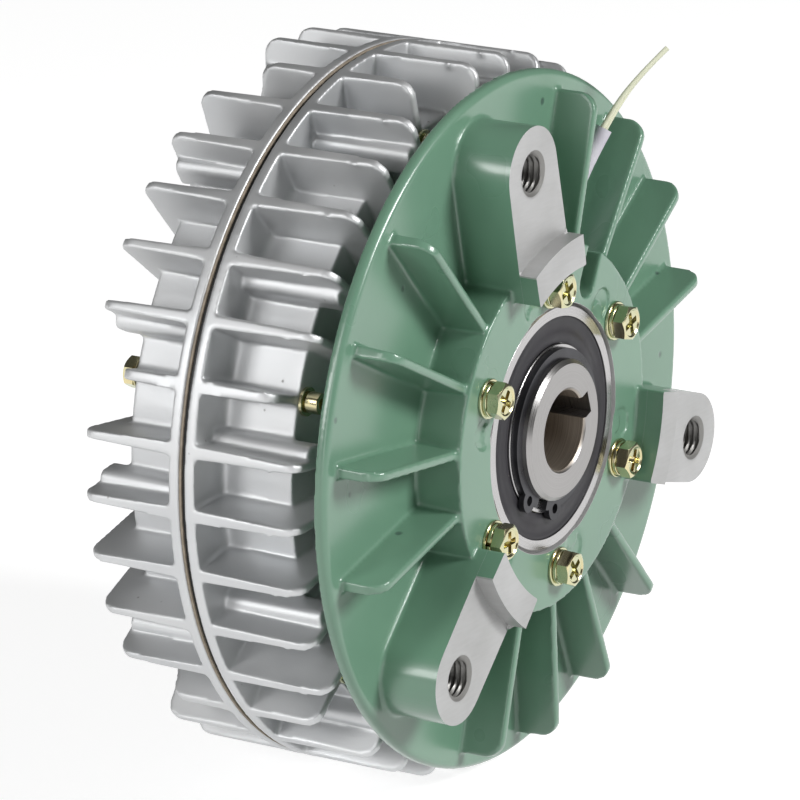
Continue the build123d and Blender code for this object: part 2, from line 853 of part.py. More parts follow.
flange_washers = washers(
    flange_bolt_circle_radius,
    flange_bolt_count,
    drum_turn + bolt_step / 2,
    flange_rear_face,
    flange_bolt_size + washer_clearance,
    flange_washer_size,
    flange_washer_thickness,
    facing=-1,
)
keep(flange_washers, "flange_bolt_washers")
flange_bolts = screws(
    flange_bolt_circle_radius,
    flange_bolt_count,
    drum_turn + bolt_step / 2,
    flange_rear_face + flange_washer_thickness,
    flange_bolt_size,
    flange_bolt_length,
    flange_bolt_head_width,
    flange_bolt_head_height,
    facing=-1,
)
keep(flange_bolts, "flange_bolts")

# Lead: grommet in the neck, tails to the coil, sleeve, and two wires that come out at the rim


def lead_point(out, station, across=0.0):
    """Point of the lead from its distance to the shaft axis, its station and a side step."""
    turn = math.radians(lead_angle)
    return (
        out * math.cos(turn) + across * math.sin(turn),
        station,
        out * math.sin(turn) - across * math.cos(turn),
    )


def corner_radii(points):
    """Largest arc radii that the runs beside each corner of a cord's route allow."""
    corners = [Vector(*point) for point in points]
    radii = []
    for before, corner, after in zip(corners, corners[1:], corners[2:]):
        shorter = min((corner - before).length, (after - corner).length)
        turn = math.radians((corner - before).get_angle(after - corner))
        radii.append(0.45 * shorter / math.tan(turn / 2))
    return radii


def cord(points, radii, outside, bore=0.0):
    """Tube of a cord or sleeve along straight runs and arcs."""
    with BuildPart() as piece:
        with BuildLine() as route:
            FilletPolyline(*points, radius=radii)
        with BuildSketch(Plane(route.wires()[0] @ 0, z_dir=route.wires()[0] % 0)):
            Circle(outside / 2)
            if bore:
                Circle(bore / 2, mode=Mode.SUBTRACT)
        sweep()
    return piece


with BuildPart() as grommet:
    with BuildSketch(spoke(lead_angle, grommet_front)):
        with Locations((lead_hole_circle_radius, 0)):
            Circle(lead_hole / 2 - fit)
    extrude(amount=-grommet_length)
keep(grommet, "lead_grommet")

tail_circle_radius = window_radius + bobbin_wall - loose_fit
tail_start = grommet_front + grommet_length
with BuildPart() as tails:
    with BuildSketch(spoke(lead_angle, tail_start)):
        for side in (-1, 1):
            with Locations((tail_circle_radius, side * wire_spacing / 2)):
                Circle(wire_size / 2)
    extrude(amount=-(window_front - tail_start))
keep(tails, "coil_tails")

# The two wires lie side by side at first, and one behind the other towards their ends
half = wire_spacing / 2
for name, side in (("lead_wire_a", 1), ("lead_wire_b", -1)):
    route = [lead_point(wire_start_out, grommet_front - wire_start_gap, side * half)]
    for out, station in lead_bends:
        route.append(lead_point(out, station, side * half))
    for out, station in wire_ends:
        shifted_out = out + side * wire_end_out
        route.append(lead_point(shifted_out, station + side * wire_end_forward, side * wire_end_across))
    radii = corner_radii(route)
    print(name, "arc radii", [round(radius, 1) for radius in radii])
    wire = cord(route, radii, wire_size)
    print(name, "length", round(wire.part.volume / (math.pi * wire_size**2 / 4), 1))
    keep(wire, name)


def on_run(first, second, out):
    """Point of the straight run between two bends at a distance to the shaft axis."""
    share = (out - first[0]) / (second[0] - first[0])
    return lead_point(out, first[1] + share * (second[1] - first[1]))


# Sleeve round both wires where they lie between the ribs
sleeve_bends = [lead_point(out, station) for out, station in lead_bends[1:]]
sleeve_route = [
    on_run(lead_bends[1], lead_bends[2], sleeve_start),
    sleeve_bends[1],
    sleeve_bends[2],
    on_run(lead_bends[3], lead_bends[4], sleeve_end),
]
sleeve = cord(sleeve_route, corner_radii(sleeve_bends), sleeve_outside, sleeve_bore)
keep(sleeve, "lead_sleeve")
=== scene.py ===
import bpy
import bmesh
import math
import numpy as np
from mathutils import Matrix, Vector


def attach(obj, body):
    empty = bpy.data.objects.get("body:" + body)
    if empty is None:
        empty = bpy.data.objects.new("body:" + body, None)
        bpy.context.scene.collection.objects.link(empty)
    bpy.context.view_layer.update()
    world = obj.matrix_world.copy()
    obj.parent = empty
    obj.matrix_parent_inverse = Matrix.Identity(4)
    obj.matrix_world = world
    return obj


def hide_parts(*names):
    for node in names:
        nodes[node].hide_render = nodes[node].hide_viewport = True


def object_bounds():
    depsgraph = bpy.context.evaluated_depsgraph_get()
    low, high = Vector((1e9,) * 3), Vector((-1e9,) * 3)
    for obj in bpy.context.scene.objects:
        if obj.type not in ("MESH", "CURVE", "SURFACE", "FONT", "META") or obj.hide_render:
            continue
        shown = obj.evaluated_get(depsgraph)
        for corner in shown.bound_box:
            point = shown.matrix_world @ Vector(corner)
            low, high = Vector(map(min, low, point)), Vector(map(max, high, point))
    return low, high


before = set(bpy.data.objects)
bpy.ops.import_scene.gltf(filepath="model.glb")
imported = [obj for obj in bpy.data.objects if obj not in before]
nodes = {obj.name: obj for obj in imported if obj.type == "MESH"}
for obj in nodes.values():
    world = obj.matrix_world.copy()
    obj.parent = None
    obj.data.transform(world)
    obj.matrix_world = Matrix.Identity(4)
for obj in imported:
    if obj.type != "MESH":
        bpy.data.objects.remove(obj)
cad_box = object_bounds()

# Camera at the photograph's viewing angle: a long lens from the left, a little above the shaft,
# that looks at the painted mounting side and along the fins of the drum.
camera_distance = 1.364
camera_target = Vector((0.0, 0.04607, -0.0039))
camera_azimuth = math.radians(-59.23)
camera_elevation = math.radians(16.84)


def put_in_scene(name, data):
    """New object of the scene from its data."""
    thing = bpy.data.objects.new(name, data)
    bpy.context.scene.collection.objects.link(thing)
    return thing


sight = Vector(
    (
        -math.sin(camera_azimuth) * math.cos(camera_elevation),
        math.cos(camera_azimuth) * math.cos(camera_elevation),
        -math.sin(camera_elevation),
    )
)
camera_data = bpy.data.cameras.new("camera")
camera_data.lens = 248.2
camera_data.sensor_width = 36.0
camera_data.shift_x = -0.0029
camera_data.shift_y = 0.0222
camera_data.clip_start = 0.1
camera_data.clip_end = 30.0
camera = put_in_scene("camera", camera_data)
camera.location = camera_target - camera_distance * sight
camera.rotation_euler = sight.to_track_quat("-Z", "Y").to_euler()
bpy.context.scene.camera = camera

# Lead wires: two thin insulated wires that leave the coil through the slot of the hub, lie side
# by side in a sleeve between two ribs, and come out past the rim with their ends free.
lead_turn = math.radians(63.8)
wire_diameter = 0.0013
wire_spacing = 0.00144
# Each bend by its distance to the shaft axis and its station along the shaft
lead_bends = [
    (0.0369, 0.0208),
    (0.0386, 0.0153),
    (0.0440, 0.0123),
    (0.0545, 0.0134),
    (0.0663, 0.0111),
    (0.0795, 0.0070),
]
free_bends = [(0.0890, 0.0024), (0.0971, -0.0038)]
# Past the sleeve the two wires spread apart by this much to each side
free_out = 0.00017
free_back = 0.00031
free_across = 0.00063


def lead_point(out, station, across):
    """Point of the lead from its distance to the shaft axis, its station and a side step."""
    return Vector(
        (
            out * math.cos(lead_turn) + across * math.sin(lead_turn),
            station,
            out * math.sin(lead_turn) - across * math.cos(lead_turn),
        )
    )


def new_group(name, inputs, outputs):
    """Empty shader group with the object's own coordinates in it, and its ends."""
    group = bpy.data.node_groups.new(name, "ShaderNodeTree")
    for socket_name, value in inputs.items():
        socket = group.interface.new_socket(name=socket_name, in_out="INPUT", socket_type="NodeSocketFloat")
        socket.default_value = value
    for socket_name, kind in outputs.items():
        group.interface.new_socket(name=socket_name, in_out="OUTPUT", socket_type="NodeSocket" + kind)
    start = group.nodes.new("NodeGroupInput")
    end = group.nodes.new("NodeGroupOutput")
    place = group.nodes.new("ShaderNodeTexCoord").outputs["Object"]
    return group, start, end, place


def feed(tree, socket, value):
    """Give an input a number, a colour or the output of another node."""
    if isinstance(value, (int, float)):
        socket.default_value = value
    elif isinstance(value, tuple):
        socket.default_value = (*value, 1.0)
    else:
        tree.links.new(value, socket)


def math_node(tree, operation, *values):
    """Math node on up to three sockets or numbers; returns its output."""
    node = tree.nodes.new("ShaderNodeMath")
    node.operation = operation
    for socket, value in zip(node.inputs, values):
        feed(tree, socket, value)
    return node.outputs[0]


def noise_node(tree, place, scale, detail=2.0):
    """Noise over the surface; scale is a number or a socket."""
    node = tree.nodes.new("ShaderNodeTexNoise")
    node.inputs["Detail"].default_value = detail
    feed(tree, node.inputs["Scale"], scale)
    tree.links.new(place, node.inputs["Vector"])
    return node.outputs["Fac"]


def blend_node(tree, share, first, second):
    """Colour between two colours or sockets, by a share from 0 to 1."""
    node = tree.nodes.new("ShaderNodeMix")
    node.data_type = "RGBA"
    tree.links.new(share, node.inputs["Factor"])
    feed(tree, node.inputs["A"], first)
    feed(tree, node.inputs["B"], second)
    return node.outputs["Result"]


def range_node(tree, value, low, high, to_low, to_high):
    """Value spread from one range to another and held inside it."""
    node = tree.nodes.new("ShaderNodeMapRange")
    tree.links.new(value, node.inputs["Value"])
    ends = {"From Min": low, "From Max": high, "To Min": to_low, "To Max": to_high}
    for socket_name, number in ends.items():
        node.inputs[socket_name].default_value = number
    return node.outputs["Result"]


# Broad mottle and fine grain that every moulded, cast or plated surface has
grain_group, grain_in, grain_out, grain_place = new_group(
    "surface_grain", {"Scale": 60.0}, {"Mottle": "Float", "Height": "Float"}
)
broad_noise = noise_node(grain_group, grain_place, grain_in.outputs["Scale"])
grain_group.links.new(broad_noise, grain_out.inputs["Mottle"])
fine_scale = math_node(grain_group, "MULTIPLY", grain_in.outputs["Scale"], 18.0)
fine_noise = noise_node(grain_group, grain_place, fine_scale, 3.0)
grain_group.links.new(fine_noise, grain_out.inputs["Height"])


def place_group(tree, group, **values):
    """Put a shader group in a material with its own values."""
    node = tree.nodes.new("ShaderNodeGroup")
    node.node_tree = group
    for socket_name, value in values.items():
        node.inputs[socket_name].default_value = value
    return node


def bump_node(tree, height, depth, normal=None):
    """Relief of a given depth in metres, over another relief if there is one."""
    node = tree.nodes.new("ShaderNodeBump")
    node.inputs["Distance"].default_value = depth
    tree.links.new(height, node.inputs["Height"])
    if normal is not None:
        tree.links.new(normal, node.inputs["Normal"])
    return node.outputs["Normal"]


def new_material(name):
    """Material with its node tree and its main shader."""
    material = bpy.data.materials.new(name)
    material.use_nodes = True
    tree = material.node_tree
    return material, tree, tree.nodes["Principled BSDF"]


def finish(name, light, dark, roughness, metallic=0.0, scale=60.0, depth=0.00001):
    """Material of a plain finish: two shades in a mottle, uneven gloss and a fine grain."""
    material, tree, shader = new_material(name)
    grain = place_group(tree, grain_group, Scale=scale)
    mottle = range_node(tree, grain.outputs["Mottle"], 0.35, 0.65, 0.0, 1.0)
    tree.links.new(blend_node(tree, mottle, dark, light), shader.inputs["Base Color"])
    gloss = range_node(tree, grain.outputs["Mottle"], 0.3, 0.7, roughness * 0.85, roughness * 1.15)
    tree.links.new(gloss, shader.inputs["Roughness"])
    shader.inputs["Metallic"].default_value = metallic
    tree.links.new(bump_node(tree, grain.outputs["Height"], depth), shader.inputs["Normal"])
    return material


insulation = finish("wire_insulation", (0.84, 0.85, 0.66), (0.81, 0.82, 0.61), 0.45, depth=0.000001)
half = wire_spacing / 2
for wire_name, side in (("lead_wire_a", 1), ("lead_wire_b", -1)):
    route = [lead_point(out, station, side * half) for out, station in lead_bends]
    for out, station in free_bends:
        route.append(lead_point(out + side * free_out, station + side * free_back, side * free_across))
    curve = bpy.data.curves.new(wire_name + "_insulation", "CURVE")
    curve.dimensions = "3D"
    curve.bevel_depth = wire_diameter / 2
    curve.bevel_resolution = 4
    curve.use_fill_caps = True
    spline = curve.splines.new("NURBS")
    spline.points.add(len(route) - 1)
    for point, place in zip(spline.points, route):
        point.co = (*place, 1)
    spline.order_u = 3
    spline.use_endpoint_u = True
    spline.resolution_u = 12
    wire = put_in_scene(wire_name + "_insulation", curve)
    curve.materials.append(insulation)
    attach(wire, "stator")
    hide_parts(wire_name)

# Front bracket: a cast plate with a hub, ribs and three lugs, sprayed sage green. Its edges and
# inner corners are rounded by the mould, and the lug faces are milled bare after painting.
bracket_turn = 3.8
lug_angle = bracket_turn + 100
rib_angles = [bracket_turn + 90 + 20 * number for number in range(18)]
bearing_seat = 0.03102
seat_shoulder_radius = 0.0285
seat_depth = 0.0172
lug_circle_radius = 0.070
register_radius = 0.050
register_level = -0.0046
plate_radius = 0.0865
plate_level = 0.0155
neck_end = 0.0361
rib_level = 0.0041
rib_half_thickness = 0.0015
rib_start = 0.0445
rib_end = 0.0825
rib_taper = 0.22
hub_level = 0.0031
milling_stock = 0.0012
corner_band = 0.0003
# The solid's tapped holes are widened for the threads, and more at the mouth
plain_hole_radius = 0.005
hole_widening = 0.08
mouth_widening = 0.10
mouth_depth = 0.0012
# The solid's mould marks are filled, and the real, smaller ones are sunk
filled_mark_radius = 0.0051
filled_mark_start = 0.0033
filled_mark_end = 0.00355
mark_circle_radius = 0.0352
mark_radius = 0.0038
mark_edge = 0.0002
mark_depth = 0.00045
hub_land_radius = 0.0315
# How near a point of the solid lies to the face that it belongs to
on_face = 0.00001
on_flank = 0.00002
on_curve = 0.00003
inside_face = 0.0001


def mesh_points(mesh):
    """Vertex places of a mesh as one array."""
    flat = np.empty(len(mesh.vertices) * 3)
    mesh.vertices.foreach_get("co", flat)
    return flat.reshape(-1, 3)


def move_points(mesh, places):
    """Write an array of vertex places back."""
    mesh.vertices.foreach_set("co", places.ravel())
    mesh.update()


def evaluated_copy(piece):
    """The piece's mesh with its modifiers applied."""
    depsgraph = bpy.context.evaluated_depsgraph_get()
    mesh = bpy.data.meshes.new_from_object(piece.evaluated_get(depsgraph), depsgraph=depsgraph)
    piece.modifiers.clear()
    piece.data = mesh


def circle_places(radius, count, angle):
    """Places on a circle round the shaft, in degrees from +X towards +Z."""
    found = []
    for number in range(count):
        turn = math.radians(angle + 360 * number / count)
        found.append((radius * math.cos(turn), radius * math.sin(turn)))
    return found


def rounded_casting(name, skin, grain, passes, share, machine):
    """Casting whose edges and inner corners are rounded by the mould, and then cut by machine."""
    piece = put_in_scene(name, skin)
    remesh = piece.modifiers.new("even_skin", "REMESH")
    remesh.mode = "VOXEL"
    remesh.voxel_size = grain
    soften = piece.modifiers.new("corner_radii", "SMOOTH")
    soften.factor = 0.5
    soften.iterations = passes
    evaluated_copy(piece)
    places = mesh_points(piece.data)
    machine(places)
    move_points(piece.data, places)
    thin = piece.modifiers.new("flat_areas", "DECIMATE")
    thin.ratio = share
    evaluated_copy(piece)
    return piece


def smooth_casting(piece):
    """Smooth shading that leaves the broad faces flat and the machined edges sharp."""
    piece.data.shade_smooth()
    piece.data.set_sharp_from_angle(angle=math.radians(50))
    normals = piece.modifiers.new("flat_faces", "WEIGHTED_NORMAL")
    normals.mode = "FACE_AREA_WITH_ANGLE"
    normals.weight = 60
    normals.keep_sharp = True
    evaluated_copy(piece)


bracket_skin = nodes["front_bracket"].data.copy()
places = mesh_points(bracket_skin)
out = np.hypot(places[:, 0], places[:, 2])
level = places[:, 1].copy()
for angle in rib_angles:
    turn = math.radians(angle)
    along = places[:, 0] * math.cos(turn) + places[:, 2] * math.sin(turn)
    across = -places[:, 0] * math.sin(turn) + places[:, 2] * math.cos(turn)
    flank = np.abs(np.abs(across) - rib_half_thickness) < on_flank
    flank &= (along > rib_start) & (along < rib_end)
    flank &= (level > rib_level - inside_face) & (level < plate_level - inside_face)
    taper = rib_taper * (plate_level - level) / (plate_level - rib_level) * across * flank
    places[:, 0] += taper * math.sin(turn)
    places[:, 2] -= taper * math.cos(turn)
places[np.abs(level) < on_face, 1] = -milling_stock
places[np.abs(level - register_level) < on_face, 1] = register_level - milling_stock
wall = (np.abs(out - register_radius) < on_face) & (level < on_face)
places[wall, ::2] *= 1 + milling_stock / register_radius
seat = (np.abs(out - bearing_seat) < on_curve) & (level < seat_depth + 0.0005)
places[seat, ::2] *= 1 - milling_stock / bearing_seat
for centre_x, centre_z in circle_places(lug_circle_radius, 3, lug_angle):
    reach = np.hypot(places[:, 0] - centre_x, places[:, 2] - centre_z)
    hole = np.abs(reach - plain_hole_radius) < on_curve
    hole = hole * (hole_widening + mouth_widening * (level < mouth_depth))
    places[:, 0] += (places[:, 0] - centre_x) * hole
    places[:, 2] += (places[:, 2] - centre_z) * hole
mark_places = circle_places(mark_circle_radius, 6, bracket_turn + 104)
for centre_x, centre_z in mark_places:
    reach = np.hypot(places[:, 0] - centre_x, places[:, 2] - centre_z)
    mark_floor = (level > filled_mark_start) & (level < filled_mark_end)
    places[(reach < filled_mark_radius) & mark_floor, 1] = hub_level
move_points(bracket_skin, places)


def set_radius(places, chosen, radius):
    """Move the chosen points to a radius round the shaft."""
    factor = radius / np.hypot(places[chosen, 0], places[chosen, 2])
    places[chosen, 0] *= factor
    places[chosen, 2] *= factor


def machine_bracket(places):
    """Mill the lug faces and pads, bore the bearing seat and sink the round mould marks."""
    out = np.hypot(places[:, 0], places[:, 2])
    level = places[:, 1].copy()
    stock = (level < 0) & (out > register_radius)
    wall = stock & (out - register_radius < -level + corner_band)
    places[stock & (out - register_radius > -level - corner_band), 1] = 0.0
    set_radius(places, wall, register_radius)
    edge = (level < register_level + corner_band) & (out > register_radius - corner_band)
    set_radius(places, edge, register_radius)
    places[edge, 1] = register_level
    places[:, 1] = np.maximum(places[:, 1], register_level)
    seat = (out < bearing_seat) & (out > seat_shoulder_radius) & (level < seat_depth)
    set_radius(places, seat, bearing_seat)
    set_radius(places, out > plate_radius, plate_radius)
    places[:, 1] = np.minimum(places[:, 1], neck_end)
    for centre_x, centre_z in mark_places:
        reach = np.hypot(places[:, 0] - centre_x, places[:, 2] - centre_z)
        sunk = np.clip((mark_radius - reach) / mark_edge, 0.0, 1.0)
        sunk *= np.abs(level - hub_level) < mark_edge
        sunk *= np.hypot(places[:, 0], places[:, 2]) > hub_land_radius
        places[:, 1] += sunk * mark_depth


bracket = rounded_casting(
    "bracket_casting", bracket_skin, grain=0.00045, passes=5, share=0.3, machine=machine_bracket
)
smooth_casting(bracket)

# Small round pits and specks, as in sprayed paint over a casting
pit_group, pit_in, pit_out, pit_place = new_group("pits", {"Scale": 120.0, "Size": 0.1}, {"Mask": "Float"})
cells = pit_group.nodes.new("ShaderNodeTexVoronoi")
pit_group.links.new(pit_place, cells.inputs["Vector"])
pit_group.links.new(pit_in.outputs["Scale"], cells.inputs["Scale"])
near = math_node(pit_group, "SUBTRACT", pit_in.outputs["Size"], cells.outputs["Distance"])
near = math_node(pit_group, "MULTIPLY", near, 20.0)
rare = range_node(pit_group, noise_node(pit_group, pit_place, 45.0), 0.56, 0.6, 0.0, 1.0)
pit_mask = math_node(pit_group, "MULTIPLY", near, rare)
pit_group.links.new(range_node(pit_group, pit_mask, 0.0, 1.0, 0.0, 1.0), pit_out.inputs["Mask"])

# Bare milled metal: a cloudy grey with faint slanting cutter marks, on the machined faces only
milled_group, _, milled_out, milled_place = new_group(
    "milled_face", {}, {"Mask": "Float", "Color": "Color", "Height": "Float"}
)


def radius_node(tree, place):
    """Distance to the shaft axis, and the station along it."""
    split = tree.nodes.new("ShaderNodeSeparateXYZ")
    tree.links.new(place, split.inputs[0])
    up_squared = math_node(tree, "MULTIPLY", split.outputs["Z"], split.outputs["Z"])
    squared = math_node(tree, "MULTIPLY_ADD", split.outputs["X"], split.outputs["X"], up_squared)
    return math_node(tree, "SQRT", squared), split.outputs["Y"]


face_band = 0.00002
wall_band = 0.0007
seat_band = 0.0001
radius_here, station_here = radius_node(milled_group, milled_place)
lug_mask = math_node(milled_group, "COMPARE", station_here, 0.0, face_band)
pad_mask = math_node(milled_group, "COMPARE", station_here, register_level, face_band)
wall_mask = math_node(milled_group, "COMPARE", radius_here, register_radius + corner_band, wall_band)
in_front = math_node(milled_group, "LESS_THAN", station_here, -face_band)
wall_mask = math_node(milled_group, "MULTIPLY", wall_mask, in_front)
seat_mask = math_node(milled_group, "COMPARE", radius_here, bearing_seat, seat_band)
flat_mask = math_node(milled_group, "MAXIMUM", lug_mask, pad_mask)
round_mask = math_node(milled_group, "MAXIMUM", wall_mask, seat_mask)
milled_mask = math_node(milled_group, "MAXIMUM", flat_mask, round_mask)
milled_group.links.new(milled_mask, milled_out.inputs["Mask"])
stretch = milled_group.nodes.new("ShaderNodeMapping")
stretch.inputs["Rotation"].default_value = (0.0, math.radians(35), 0.0)
stretch.inputs["Scale"].default_value = (1.0, 1.0, 9.0)
milled_group.links.new(milled_place, stretch.inputs["Vector"])
cutter_marks = noise_node(milled_group, stretch.outputs["Vector"], 160.0, 4.0)
clouds = noise_node(milled_group, milled_place, 55.0, 3.0)
cloud_share = math_node(milled_group, "MULTIPLY", clouds, 0.75)
tone = math_node(milled_group, "MULTIPLY_ADD", cutter_marks, 0.25, cloud_share)
tone = range_node(milled_group, tone, 0.3, 0.7, 0.0, 1.0)
milled_colour = blend_node(milled_group, tone, (0.42, 0.42, 0.415), (0.54, 0.54, 0.54))
milled_group.links.new(milled_colour, milled_out.inputs["Color"])
milled_group.links.new(cutter_marks, milled_out.inputs["Height"])

bracket_paint, tree, shader = new_material("bracket_paint")
grain = place_group(tree, grain_group, Scale=38.0)
pits = place_group(tree, pit_group, Scale=95.0, Size=0.11)
milled = place_group(tree, milled_group)
bare = milled.outputs["Mask"]
mottle = range_node(tree, grain.outputs["Mottle"], 0.3, 0.7, 0.0, 1.0)
paint_colour = blend_node(tree, mottle, (0.138, 0.268, 0.186), (0.156, 0.296, 0.204))
paint_colour = blend_node(tree, pits.outputs["Mask"], paint_colour, (0.07, 0.13, 0.10))
tree.links.new(blend_node(tree, bare, paint_colour, milled.outputs["Color"]), shader.inputs["Base Color"])
paint_gloss = range_node(tree, grain.outputs["Mottle"], 0.3, 0.7, 0.26, 0.34)
tree.links.new(math_node(tree, "MULTIPLY_ADD", bare, 0.16, paint_gloss), shader.inputs["Roughness"])
tree.links.new(math_node(tree, "MULTIPLY", bare, 0.5), shader.inputs["Metallic"])
coat = math_node(tree, "MULTIPLY_ADD", bare, -0.6, 0.6)
tree.links.new(coat, shader.inputs["Coat Weight"])
shader.inputs["Coat Roughness"].default_value = 0.22
relief = bump_node(tree, grain.outputs["Height"], 0.000012)
relief = bump_node(tree, grain.outputs["Mottle"], 0.00012, relief)
relief = bump_node(tree, pits.outputs["Mask"], -0.0001, relief)
tree.links.new(relief, shader.inputs["Normal"])
bracket.data.materials.clear()
bracket.data.materials.append(bracket_paint)
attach(bracket, "stator")
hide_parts("front_bracket")

# Tapped holes of the lugs: M10 threads with a countersunk mouth, cut into the aluminium after
# the faces are milled. Each is a skin of thread in the casting's widened hole. Inside it the metal
# is darker, partly from cutting oil and partly as painted shade of the deep hole.
hole_radius = 0.0052
thread_depth = 0.00078
thread_pitch = 0.0015
thread_start = 0.0005
thread_length = 0.0150
thread_sides = 48
steps_per_turn = 6
rim_width = 0.0013
rim_lift = 0.000004
chamfer_width = 0.0005
chamfer_depth = 0.0004
drill_tip_radius = 0.0002
drill_tip_depth = 0.0005


def skin_rings(rings, joined=False, capped=False):
    """Vertices and faces over a row of rings that have the same number of points."""
    count = len(rings[0])
    faces = []
    follows = list(range(1, len(rings))) + ([0] if joined else [])
    for first, second in enumerate(follows):
        here = first * count
        there = second * count
        for number in range(count):
            after = (number + 1) % count
            faces.append((here + number, here + after, there + after, there + number))
    if capped:
        faces.append(tuple(range(count)))
        faces.append(tuple((len(rings) - 1) * count + number for number in range(count)))
    return [point for ring in rings for point in ring], faces


def round_ring(radius, height, count):
    """Ring of points round the local axis; the radius may be a function of the turn."""
    ring = []
    for number in range(count):
        turn = 2 * math.pi * number / count
        reach = radius(turn) if callable(radius) else radius
        ring.append((reach * math.cos(turn), reach * math.sin(turn), height))
    return ring


def set_at(shape, x, z, seat, facing=-1, turn=0.0):
    """Stand a local shape on a seat across the shaft, at (x, z), facing forwards or backwards."""
    points, faces = shape
    cosine = math.cos(turn)
    sine = math.sin(turn)
    placed = []
    for side, up, height in points:
        right = x + side * cosine - up * sine
        placed.append((right, seat + facing * height, z + side * sine + up * cosine))
    return placed, faces


def piece_from(name, shapes, material, body, node_names, crease=32):
    """One piece from several shapes, with its finish, its body and the CAD nodes it stands for."""
    mesh = bpy.data.meshes.new(name)
    points = []
    faces = []
    for shape_points, shape_faces in shapes:
        start = len(points)
        points.extend(shape_points)
        faces.extend(tuple(start + number for number in face) for face in shape_faces)
    mesh.from_pydata(points, [], faces)
    form = bmesh.new()
    form.from_mesh(mesh)
    bmesh.ops.recalc_face_normals(form, faces=form.faces)
    form.to_mesh(mesh)
    form.free()
    mesh.shade_smooth()
    mesh.set_sharp_from_angle(angle=math.radians(crease))
    piece = put_in_scene(name, mesh)
    mesh.materials.append(material)
    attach(piece, body)
    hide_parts(*node_names)
    return piece


thread_rings = [
    round_ring(hole_radius + rim_width, rim_lift, thread_sides),
    round_ring(hole_radius + chamfer_width, rim_lift, thread_sides),
    round_ring(hole_radius, -chamfer_depth, thread_sides),
]
for step in range(int((thread_length - thread_start) / (thread_pitch / steps_per_turn))):
    depth = thread_start + step * thread_pitch / steps_per_turn

    def thread_radius(turn, depth=depth):
        share = (depth / thread_pitch - turn / (2 * math.pi)) % 1
        return hole_radius - thread_depth * (1 - abs(2 * share - 1))

    thread_rings.append(round_ring(thread_radius, -depth, thread_sides))
thread_rings.append(round_ring(drill_tip_radius, -thread_length - drill_tip_depth, thread_sides))
thread_shape = skin_rings(thread_rings)
lug_places = circle_places(lug_circle_radius, 3, lug_angle)
cut_metal, tree, shader = new_material("cut_bracket_metal")
milled = place_group(tree, milled_group)
# Darker grey inside the hole: partly cutting oil, partly painted shade of the hole's depth. The rim on the
# lug face keeps the milled colour.
thread_oil_and_painted_shade = blend_node(tree, milled.outputs["Mask"], (0.24, 0.235, 0.225), milled.outputs["Color"])
tree.links.new(thread_oil_and_painted_shade, shader.inputs["Base Color"])
tree.links.new(range_node(tree, milled.outputs["Height"], 0.3, 0.7, 0.38, 0.5), shader.inputs["Roughness"])
tree.links.new(bump_node(tree, milled.outputs["Height"], 0.00001), shader.inputs["Normal"])
shader.inputs["Metallic"].default_value = 0.55
piece_from(
    "lug_threads",
    [set_at(thread_shape, x, z, 0.0) for x, z in lug_places],
    cut_metal,
    "stator",
    ["front_bracket"],
    crease=60,
)

# Ball bearings: ground steel rings with a pressed cage, and two dished rubber seals pressed
# into the outer ring, one each side.
bearing_fronts = {"front_bearing": 0.0036, "rear_bearing": 0.0556}
bearing_width = 0.014
seal_inset = 0.0003
ring_sides = 120

# Fine lines that a lathe or grinder leaves round the shaft
lines_group, lines_in, lines_out, lines_place = new_group(
    "turning_lines", {"Scale": 4000.0}, {"Tone": "Float", "Height": "Float"}
)
path = math_node(lines_group, "ADD", *radius_node(lines_group, lines_place))
line_number = math_node(lines_group, "MULTIPLY", path, lines_in.outputs["Scale"])
line_noise = lines_group.nodes.new("ShaderNodeTexNoise")
line_noise.noise_dimensions = "1D"
line_noise.inputs["Detail"].default_value = 3.0
line_noise.inputs["Scale"].default_value = 1.0
lines_group.links.new(line_number, line_noise.inputs["W"])
lines_group.links.new(line_noise.outputs["Fac"], lines_out.inputs["Height"])
line_tone = range_node(lines_group, line_noise.outputs["Fac"], 0.35, 0.65, 0.0, 1.0)
lines_group.links.new(line_tone, lines_out.inputs["Tone"])


def turned_finish(name, light, dark, roughness, lines=4000.0, depth=0.000006):
    """Metal turned or ground round the shaft, with uneven rings in its gloss and relief."""
    material, tree, shader = new_material(name)
    rings = place_group(tree, lines_group, Scale=lines)
    grain = place_group(tree, grain_group, Scale=70.0)
    grain_share = math_node(tree, "MULTIPLY", grain.outputs["Mottle"], 0.5)
    tone = math_node(tree, "MULTIPLY_ADD", rings.outputs["Tone"], 0.5, grain_share)
    tree.links.new(blend_node(tree, tone, dark, light), shader.inputs["Base Color"])
    gloss = range_node(tree, tone, 0.2, 0.8, roughness * 0.8, roughness * 1.2)
    tree.links.new(gloss, shader.inputs["Roughness"])
    shader.inputs["Metallic"].default_value = 1.0
    tree.links.new(bump_node(tree, rings.outputs["Height"], depth), shader.inputs["Normal"])
    return material


bearing_steel = turned_finish("bearing_steel", (0.56, 0.55, 0.55), (0.44, 0.43, 0.43), 0.24)
cage_steel = finish("cage_steel", (0.52, 0.50, 0.48), (0.40, 0.39, 0.38), 0.35, metallic=1.0)
seal_rubber = finish("seal_rubber", (0.027, 0.025, 0.030), (0.019, 0.018, 0.022), 0.55, scale=140.0)


def give(node_name, material):
    """Give a CAD node its material."""
    nodes[node_name].data.materials.clear()
    nodes[node_name].data.materials.append(material)


def turned_shape(profile):
    """Ring about the shaft from a closed profile of (radius, station) points."""
    rings = []
    for number in range(ring_sides):
        turn = 2 * math.pi * number / ring_sides
        cosine = math.cos(turn)
        sine = math.sin(turn)
        rings.append([(radius * cosine, station, radius * sine) for radius, station in profile])
    return skin_rings(rings, joined=True)


